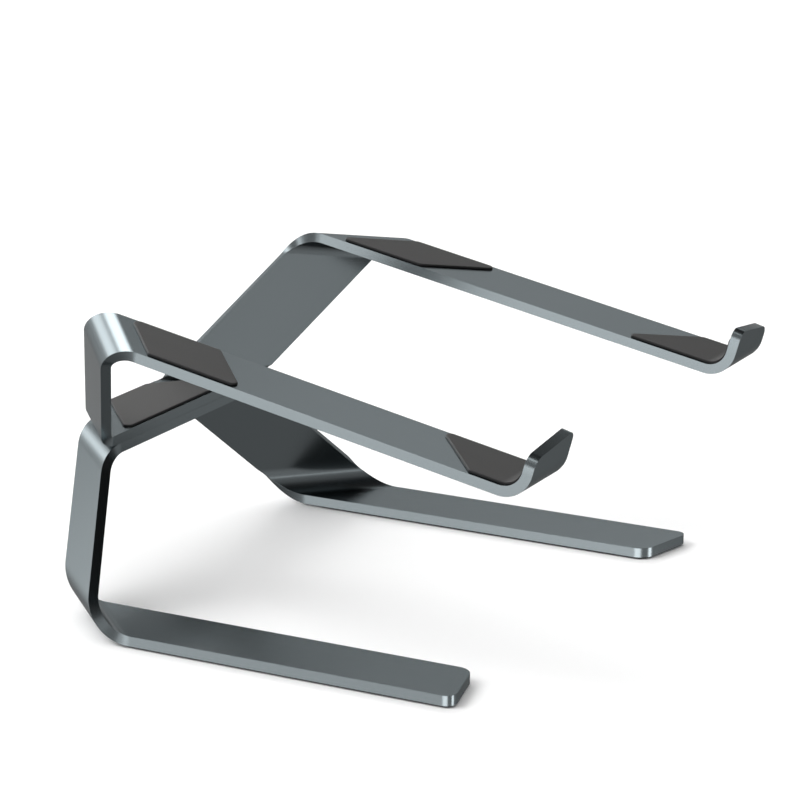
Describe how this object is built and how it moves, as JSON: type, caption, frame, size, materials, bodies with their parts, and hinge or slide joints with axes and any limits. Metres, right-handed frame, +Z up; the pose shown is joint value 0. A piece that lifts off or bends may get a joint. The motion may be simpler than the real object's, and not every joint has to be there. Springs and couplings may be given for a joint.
{
  "type": "laptop stand",
  "caption": "Folded aluminium laptop riser: an upper and a lower bent strip frame joined at their crossbars, with sloping arms, front hooks, splayed feet and rubber pads.",
  "frame": {"origin": "middle of the bounding box in plan, on the plane that the foot pads stand on", "axes": "+Z up, +X to the right for somebody who faces the hooks' side, -Y towards the hooks and the user"},
  "size_m": [0.2482, 0.2668, 0.1358],
  "materials": {
    "upper_metal": "bead-blasted and anodised blue-grey",
    "lower_metal": "bead-blasted and anodised blue-grey",
    "screw_steel": "plain steel",
    "pad_rubber": "matt dark grey rubber"
  },
  "bodies": {
    "root": {"upper_frame": "upper_metal", "lower_frame": "lower_metal", "crossbar_screws": "screw_steel", "crossbar_pad": "pad_rubber", "left_rear_pad": "pad_rubber", "right_rear_pad": "pad_rubber", "left_front_pad": "pad_rubber", "right_front_pad": "pad_rubber", "left_foot_pad": "pad_rubber", "right_foot_pad": "pad_rubber"}
  },
  "joints": []
}
